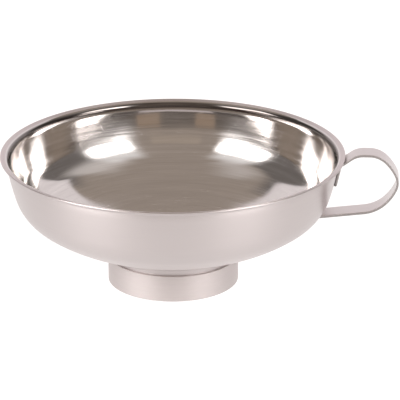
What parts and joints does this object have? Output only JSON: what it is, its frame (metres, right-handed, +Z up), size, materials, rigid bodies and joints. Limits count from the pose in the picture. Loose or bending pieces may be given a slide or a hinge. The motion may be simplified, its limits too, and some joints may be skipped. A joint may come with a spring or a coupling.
{
  "type": "canning funnel",
  "caption": "Wide stainless funnel with a flared rim, a short straight spout for jar mouths and a flat strap finger loop at the side.",
  "frame": {"origin": "on the axis of the spout, at the collar's lower edge", "axes": "+Z up along the spout's axis, out of the bowl; +X towards the handle; +Y makes a right-handed frame"},
  "size_m": [0.1617, 0.14, 0.057],
  "materials": {
    "satin_steel": "satin, brushed around the axis; the inside of the bowl is polished to a mirror",
    "strap_steel": "satin, brushed along the strap"
  },
  "bodies": {
    "root": {"bowl": "satin_steel", "spout_collar": "satin_steel", "handle_strap": "strap_steel"}
  },
  "joints": []
}
